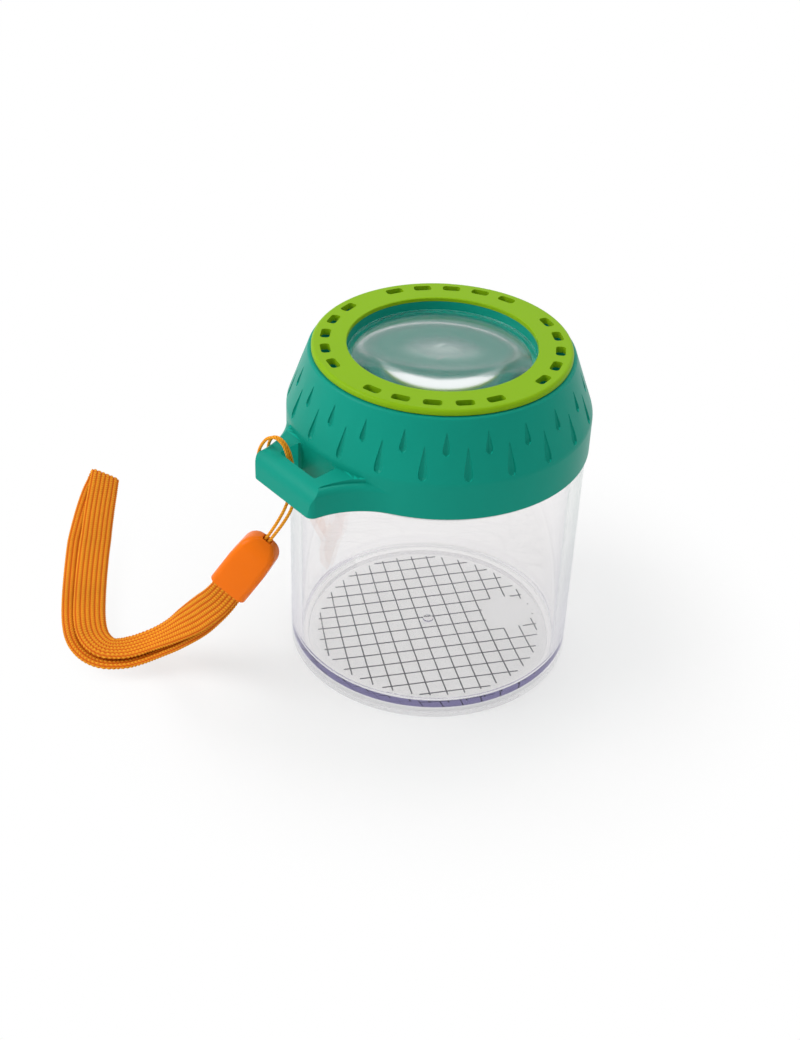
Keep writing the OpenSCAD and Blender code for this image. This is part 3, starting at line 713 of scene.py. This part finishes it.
def web_loop(sizes, count):
    """The two layers of webbing and the fold between them: places, edges and width shares."""
    last = len(WEB_ROUTE) - 1
    index = np.arange(last + 1)[:, None]
    route = smooth_through(
        np.hstack([np.array(WEB_ROUTE) * MM, np.array(WEB_EDGE), index]), ROUTE_POINTS)
    points, edge, index = route[:, :3], route[:, 3:6], route[:, 6]
    t = along(points)
    e = square_to(edge, t)
    n = np.cross(t, e)
    half_gap = sizes.web_t * HALF_GAP
    opening = np.clip(1 - (last - index) / PARTING, 0, 1)
    rise = (sizes.loop_open * opening)[:, None]
    aside = (sizes.loop_aside * index / last
             * np.clip((last - index) / SLIDING, 0, 1))[:, None]
    share = np.clip(WIDTH_IN_CAP + WIDTH_GROWTH * index, 0, 1)[:, None]
    lower = points - half_gap * n + aside * e
    upper = points + (half_gap + rise) * n - aside * e
    middle = (lower[-1] + upper[-1]) / 2
    hairpin = half_gap + sizes.loop_open / 2
    fold = [middle + (lower[-1] - middle) * math.cos(a) + t[-1] * hairpin * math.sin(a)
            for a in np.linspace(0, math.pi, FOLD_POINTS + 2)[1:-1]]
    line = np.vstack([lower, fold, upper[::-1]])
    edges = np.vstack([e, np.repeat(e[-1:], FOLD_POINTS, axis=0), e[::-1]])
    shares = np.vstack([share, np.ones((FOLD_POINTS, 1)), share[::-1]])
    reach = np.concatenate([[0], np.cumsum(np.linalg.norm(np.diff(line, axis=0), axis=1))])
    even = np.linspace(0, reach[-1], count)
    rows = np.hstack([line, edges, shares])
    rows = np.stack([np.interp(even, reach, column) for column in rows.T], axis=1)
    return rows[:, :3], rows[:, 3:6], rows[:, 6], points


class BUGJAR_OT_strap_webbing(Operator):
    """Knits the webbing: a flat tube of stitches, folded into a doubled loop"""
    bl_idname = "bugjar.strap_webbing"
    bl_label = "Webbing"

    def execute(self, context):
        sizes = context.scene.bugjar_strap
        colours = context.scene.bugjar_finishes
        sides = STITCH_POINTS * sizes.columns
        rough = web_loop(sizes, 400)[0]
        count = int(length_of(rough) / sizes.stitch * STITCH_POINTS)
        points, edge, share, middle = web_loop(sizes, count)
        t = along(points)
        e = square_to(edge, t)
        n = np.cross(t, e)
        a = np.linspace(0, 2 * np.pi, 721)
        half_w = (sizes.web_w - sizes.stitch_depth) / 2
        half_t = (sizes.web_t - sizes.stitch_depth / 2) / 2
        wide, thick = np.cos(a), np.sin(a)
        outline = np.stack(
            [half_w * np.sign(wide) * np.abs(wide) ** SQUARE_ACROSS,
             half_t * np.sign(thick) * np.abs(thick) ** SQUARE_THROUGH], axis=1)
        reach = np.concatenate([[0], np.cumsum(np.linalg.norm(np.diff(outline, axis=0), axis=1))])
        even = np.linspace(0, reach[-1], sides, endpoint=False)
        outline = np.stack([np.interp(even, reach, column) for column in outline.T], axis=1)
        tangent = np.roll(outline, -1, axis=0) - np.roll(outline, 1, axis=0)
        out = unit(np.stack([tangent[:, 1], -tangent[:, 0]], axis=1))
        # Stitches: u counts the columns and v the stitches, and every second column is offset
        u = np.arange(sides) / STITCH_POINTS
        across = np.abs((u + 0.5) % 1 - 0.5)[None, :]
        v = np.linspace(0, length_of(points) / sizes.stitch, count)[:, None]
        odd = (np.floor(u + 0.5) % 2)[None, :] * 0.5
        stitch = 0.5 + 0.5 * np.cos(2 * np.pi * (v + across + odd))
        column = np.cos(np.pi * across) ** CREST_FLATNESS
        relief = column * (STITCH_FLOOR + (1 - STITCH_FLOOR) * stitch)
        height = (relief - 0.5) * sizes.stitch_depth
        x = outline[None, :, 0] * share[:, None] + out[None, :, 0] * height
        y = outline[None, :, 1] + out[None, :, 1] * height
        rings = points[:, None, :] + x[:, :, None] * e[:, None, :] + y[:, :, None] * n[:, None, :]
        piece = tube_object("strap_webbing_knit", rings, relief)
        put_material(piece, yarn("web_yarn", colours.yarn, colours.yarn_painted_shade, 2600))
        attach(piece, "lid")
        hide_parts("strap_webbing")
        return {"FINISHED"}


class BUGJAR_OT_strap_cap(Operator):
    """Moulds the bullet-shaped cap that joins the cord to the webbing"""
    bl_idname = "bugjar.strap_cap"
    bl_label = "Cap"

    def execute(self, context):
        sizes = context.scene.bugjar_strap
        nose_r = sizes.cap_t / 2
        corner_r = sizes.cap_corner_r
        half_w = sizes.cap_w / 2
        barrel = sizes.cap_l / 2
        nose_w = half_w - sizes.cap_wall / 2
        nose_z = sizes.cap_l - nose_w
        hole_r = sizes.hole_d / 2
        tiny = 0.01 * MM
        deselect_all()
        bpy.ops.mesh.primitive_cylinder_add(
            vertices=66, radius=corner_r, depth=barrel, end_fill_type="NGON",
            location=(0, 0, barrel / 2))
        cap = context.object
        cap.name = "strap_cap_moulded"
        place_in_mesh(cap)
        for sign in (1, -1):
            choose(cap, "VERT", lambda co, s=sign: co.x * s > tiny)
            bpy.ops.transform.translate(value=(sign * (half_w - corner_r), 0, 0))
            choose(cap, "VERT", lambda co, s=sign: co.y * s > tiny)
            bpy.ops.transform.translate(value=(0, sign * (nose_r - corner_r), 0))
        # The tapering body and the dome: half widths and height of each ring
        rings = [(half_w, nose_r, barrel), (nose_w, nose_r, nose_z)]
        for step in range(1, DOME_STEPS + 1):
            a = DOME_ANGLE * step
            rings.append((nose_w * math.cos(a), nose_r * math.cos(a),
                          nose_z + nose_w * math.sin(a)))
        rings.append((hole_r, hole_r, sizes.cap_l - DOME_LIP))
        choose(cap, "FACE", lambda middle, normal: normal.z > 0.9)
        for (x0, y0, z0), (x1, y1, z1) in zip(rings, rings[1:]):
            bpy.ops.mesh.extrude_region_move(TRANSFORM_OT_translate={"value": (0, 0, z1 - z0)})
            bpy.ops.transform.resize(value=(x1 / x0, y1 / y0, 1))
        bpy.ops.mesh.extrude_region_move(
            TRANSFORM_OT_translate={"value": (0, 0, sizes.mouth_l + nose_r - sizes.cap_l)})
        # The mouth: a wall, its depth, and a step in to the cord's hole
        choose(cap, "FACE", lambda middle, normal: normal.z < -0.9 and middle.z < tiny)
        bpy.ops.mesh.extrude_region_move(TRANSFORM_OT_translate={"value": (0, 0, 0)})
        bpy.ops.transform.resize(
            value=((half_w - sizes.cap_wall) / half_w, (nose_r - sizes.cap_wall) / nose_r, 1))
        bpy.ops.mesh.extrude_region_move(
            TRANSFORM_OT_translate={"value": (0, 0, sizes.mouth_l)})
        bpy.ops.mesh.extrude_region_move(TRANSFORM_OT_translate={"value": (0, 0, 0)})
        bpy.ops.transform.resize(
            value=(hole_r / (half_w - sizes.cap_wall), hole_r / (nose_r - sizes.cap_wall), 1))
        bpy.ops.object.mode_set(mode="OBJECT")
        bevel = cap.modifiers.new("edges", "BEVEL")
        bevel.width = sizes.cap_edge
        bevel.segments = 3
        bevel.limit_method = "ANGLE"
        bevel.angle_limit = MOULDED_SMOOTH
        apply_modifiers(cap)
        z = CAP_DIR.normalized()
        x = (CAP_ACROSS - CAP_ACROSS.dot(z) * z).normalized()
        y = z.cross(x)
        turn = Matrix((x, y, z)).transposed().to_4x4()
        cap.matrix_world = Matrix.Translation(CAP_MOUTH) @ turn
        place_in_mesh(cap)
        bpy.ops.object.shade_smooth_by_angle(angle=CAP_SMOOTH)
        colours = context.scene.bugjar_finishes
        put_material(cap, plastic("orange_plastic", colours.orange, 0.2, 0.05, 0.04, 0.06, 0.12))
        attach(cap, "lid")
        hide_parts("strap_cap")
        return {"FINISHED"}


def thread_ridge(name, radius, sizes, low_z, turns, material, body):
    """A helical ridge with its middle on the given radius, tapered at both ends."""
    sides, taper_steps = 12, 14
    deselect_all()
    bpy.ops.mesh.primitive_circle_add(
        vertices=sides, radius=sizes.thread_h, fill_type="NOTHING",
        location=(radius, 0, low_z), rotation=(math.pi / 2, 0, 0))
    ridge = bpy.context.object
    ridge.name = name
    ridge.scale.y = sizes.thread_w / 2 / sizes.thread_h
    place_in_mesh(ridge)
    screw = ridge.modifiers.new("helix", "SCREW")
    screw.angle = 2 * math.pi * turns
    screw.screw_offset = sizes.thread_pitch * turns
    screw.steps = int(96 * turns)
    screw.render_steps = screw.steps
    apply_modifiers(ridge)
    places = np.zeros(len(ridge.data.vertices) * 3)
    ridge.data.vertices.foreach_get("co", places)
    rings = places.reshape(-1, sides, 3)
    middles = rings.mean(axis=1, keepdims=True)
    step = np.arange(len(rings))
    fade = np.clip((np.minimum(step, len(rings) - 1 - step) + 1) / taper_steps, 0, 1)
    rings = middles + (rings - middles) * fade[:, None, None]
    ridge.data.vertices.foreach_set("co", rings.ravel())
    bpy.ops.object.mode_set(mode="EDIT")
    bpy.ops.mesh.select_all(action="SELECT")
    bpy.ops.mesh.fill_holes(sides=0)
    bpy.ops.mesh.normals_make_consistent(inside=False)
    bpy.ops.object.mode_set(mode="OBJECT")
    bpy.ops.object.shade_smooth_by_angle(angle=MOULDED_SMOOTH)
    put_material(ridge, material)
    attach(ridge, body)
    return ridge


class BUGJAR_OT_jar(Operator):
    """Finishes the clear jar with its thread and gate mark, and the printed grid"""
    bl_idname = "bugjar.jar"
    bl_label = "Jar"

    def execute(self, context):
        sizes = context.scene.bugjar_sizes
        colours = context.scene.bugjar_finishes
        clear = clear_plastic("clear_plastic", colours.clear, CLEAR_IOR,
                              trapped=(colours.floor_painted_glow, colours.lid_painted_glow))
        put_material(frame["nodes"]["jar_cup"], clear)
        self.grid_print(sizes, ink_print(colours.ink))
        neck_r = SHOULDER_R - sizes.neck_step
        thread_ridge("jar_thread", neck_r, sizes, NECK_TOP - sizes.neck_thread_drop,
                     sizes.neck_thread_turns, clear, "jar")
        self.gate_mark(sizes, clear)
        return {"FINISHED"}

    def grid_print(self, sizes, ink):
        """The printed grid: its lines end on a circle and leave a bare patch."""
        pieces = []
        half = sizes.grid_lines / 2
        reach = sizes.grid_r / sizes.grid_pitch
        for turned in (False, True):
            for line in range(sizes.grid_lines):
                place = line + 0.5 - half
                end = math.sqrt(reach ** 2 - place ** 2)
                gap = GRID_GAPS.get(("column" if turned else "row", place), (end, end))
                for low, high in ((-end, gap[0]), (gap[1], end)):
                    if high - low > 0.01:
                        pieces.append(self.grid_line(sizes, turned, place, low, high))
        deselect_all()
        for piece in pieces:
            piece.select_set(True)
        bpy.context.view_layer.objects.active = pieces[0]
        bpy.ops.object.join()
        grid = bpy.context.object
        grid.name = "jar_grid_print"
        grid.rotation_euler.z = GRID_TURN
        place_in_mesh(grid)
        put_material(grid, ink)
        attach(grid, "jar")
        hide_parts("grid_print")

    def grid_line(self, sizes, turned, place, low, high):
        """One printed line with rounded ends, from low to high in cells."""
        deselect_all()
        bpy.ops.mesh.primitive_cylinder_add(
            vertices=12, radius=sizes.grid_line / 2, depth=sizes.ink_t, end_fill_type="NGON",
            location=(0, 0, INK_TOP - sizes.ink_t / 2))
        line = bpy.context.object
        place_in_mesh(line)
        stretch = (high - low) * sizes.grid_pitch - sizes.grid_line
        choose(line, "VERT", lambda co: co.x > 0)
        bpy.ops.transform.translate(value=(stretch, 0, 0))
        bpy.ops.object.mode_set(mode="OBJECT")
        start = low * sizes.grid_pitch + sizes.grid_line / 2
        line.location = (start, place * sizes.grid_pitch, 0)
        if turned:
            line.location = (place * sizes.grid_pitch, start, 0)
            line.rotation_euler.z = math.pi / 2
        place_in_mesh(line)
        return line

    def gate_mark(self, sizes, clear):
        """The low round bump that the mould's gate leaves in the middle of the floor."""
        deselect_all()
        bpy.ops.mesh.primitive_cylinder_add(
            vertices=48, radius=sizes.gate_r, depth=sizes.gate_h, end_fill_type="NGON",
            location=(0, 0, sizes.gate_z + sizes.gate_h / 2))
        bump = bpy.context.object
        bump.name = "jar_gate_mark"
        place_in_mesh(bump)
        choose(bump, "FACE", lambda middle, normal: normal.z > 0.9)
        bpy.ops.mesh.inset(thickness=sizes.gate_r * 0.45, depth=-sizes.gate_h * 0.35)
        bpy.ops.object.mode_set(mode="OBJECT")
        bevel = bump.modifiers.new("edges", "BEVEL")
        bevel.width = sizes.gate_h * 0.4
        bevel.segments = 3
        bevel.limit_method = "ANGLE"
        apply_modifiers(bump)
        bpy.ops.object.shade_smooth_by_angle(angle=MOULDED_SMOOTH)
        put_material(bump, clear)
        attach(bump, "jar")


class BUGJAR_OT_lid(Operator):
    """Finishes the lid, its vent ring and its lens, and adds the lid's thread"""
    bl_idname = "bugjar.lid"
    bl_label = "Lid"

    def execute(self, context):
        sizes = context.scene.bugjar_sizes
        colours = context.scene.bugjar_finishes
        teal = plastic("teal_plastic", colours.teal, MOULDED_GLOSS,
                       painted_inner_glow=colours.teal_painted_glow)
        put_material(frame["nodes"]["lid_shell"], teal)
        put_material(frame["nodes"]["vent_ring"],
                     plastic("lime_plastic", colours.lime, MOULDED_GLOSS))
        put_material(frame["nodes"]["lens"],
                     clear_plastic("lens_plastic", colours.lens, LENS_IOR, gloss=LENS_GLOSS))
        thread_ridge("lid_thread", sizes.lid_bore_r, sizes, LID_LOW.z + sizes.lid_thread_rise,
                     sizes.lid_thread_turns, teal, "lid")
        return {"FINISHED"}


def seen_rays(tree):
    """1 for the rays that show the background: from the camera, a reflection or clear plastic."""
    rays = add_node(tree, "ShaderNodeLightPath")
    seen = rays.outputs["Is Camera Ray"]
    for kind in ("Is Glossy Ray", "Is Transmission Ray"):
        seen = add_node(tree, "ShaderNodeMath", {0: seen, 1: rays.outputs[kind]},
                        operation="MAXIMUM").outputs[0]
    return seen


def area_lamp(name, turn, rise, distance, side, power):
    """A soft square lamp that faces the jar."""
    back = direction(math.radians(turn), math.radians(rise))
    bpy.ops.object.light_add(type="AREA", location=VIEW_AIM + back * distance)
    lamp = bpy.context.object
    lamp.name = name
    lamp.rotation_euler = (-back).to_track_quat("-Z", "Y").to_euler()
    lamp.data.shape = "RECTANGLE"
    lamp.data.size = side
    lamp.data.size_y = side
    lamp.data.energy = power
    lamp.visible_camera = False
    lamp.visible_transmission = False


class BUGJAR_OT_stage(Operator):
    """Lays a pale floor and lights it softly"""
    bl_idname = "bugjar.stage"
    bl_label = "Stage"

    def execute(self, context):
        deselect_all()
        bpy.ops.mesh.primitive_plane_add(size=6)
        floor = context.object
        floor.name = "stage_floor"
        material, tree, shader = new_material("stage_floor")
        feed(tree, shader, {"Base Color": (0.92, 0.92, 0.92, 1), "Roughness": 0.9,
                            "Specular IOR Level": 0.0})
        place = add_node(tree, "ShaderNodeTexCoord").outputs["Object"]
        far = add_node(tree, "ShaderNodeVectorMath", {0: place}, operation="LENGTH")
        fade = add_node(tree, "ShaderNodeMapRange",
                        {"Value": far.outputs["Value"], "From Min": FLOOR_NEAR,
                         "From Max": FLOOR_FAR, "To Min": FLOOR_LEVEL, "To Max": 1.0},
                        interpolation_type="SMOOTHSTEP")
        share = add_node(tree, "ShaderNodeMath",
                         {0: seen_rays(tree), 1: fade.outputs[0]}, operation="MULTIPLY")
        glow = add_node(tree, "ShaderNodeEmission", {"Color": (1, 1, 1, 1), "Strength": 1.0})
        mix = add_node(tree, "ShaderNodeMixShader",
                       {0: share.outputs[0], 1: shader.outputs[0], 2: glow.outputs[0]})
        tree.links.new(mix.outputs[0], tree.nodes["Material Output"].inputs["Surface"])
        put_material(floor, material)
        world = bpy.data.worlds.new("studio")
        context.scene.world = world
        world.use_nodes = True
        tree = world.node_tree
        level = add_node(tree, "ShaderNodeMapRange",
                         {"Value": seen_rays(tree), "To Min": WORLD_LEVEL, "To Max": 1.0})
        feed(tree, tree.nodes["Background"], {"Color": (1, 1, 1, 1),
                                              "Strength": level.outputs[0]})
        for name, values in LAMPS.items():
            area_lamp(name, *values)
        context.scene.view_settings.view_transform = "Standard"
        return {"FINISHED"}


class BUGJAR_PT_panel(Panel):
    """Lists the jar's pieces and sizes"""
    bl_idname = "BUGJAR_PT_panel"
    bl_label = "Bug catcher jar"
    bl_space_type = "VIEW_3D"
    bl_region_type = "UI"
    bl_category = "Bug jar"

    def draw(self, context):
        layout = self.layout
        for operator in PIECES:
            layout.operator(operator.bl_idname)
        for label, group in GROUPS.items():
            box = layout.box()
            box.label(text=group.__doc__)
            values = getattr(context.scene, label)
            for name in group.__annotations__:
                box.prop(values, name)


PIECES = (BUGJAR_OT_camera, BUGJAR_OT_strap_cap, BUGJAR_OT_strap_cord, BUGJAR_OT_strap_webbing,
          BUGJAR_OT_jar, BUGJAR_OT_lid, BUGJAR_OT_stage)
GROUPS = {"bugjar_sizes": JarSizes, "bugjar_strap": StrapSizes, "bugjar_finishes": Finishes}


def register():
    for item in (*GROUPS.values(), *PIECES, BUGJAR_PT_panel):
        bpy.utils.register_class(item)
    for label, group in GROUPS.items():
        setattr(bpy.types.Scene, label, PointerProperty(type=group))


def unregister():
    for label in GROUPS:
        delattr(bpy.types.Scene, label)
    for item in reversed((*GROUPS.values(), *PIECES, BUGJAR_PT_panel)):
        bpy.utils.unregister_class(item)


def main():
    register()
    for operator in PIECES:
        area, name = operator.bl_idname.split(".")
        getattr(getattr(bpy.ops, area), name)()


if __name__ == "__main__":
    main()
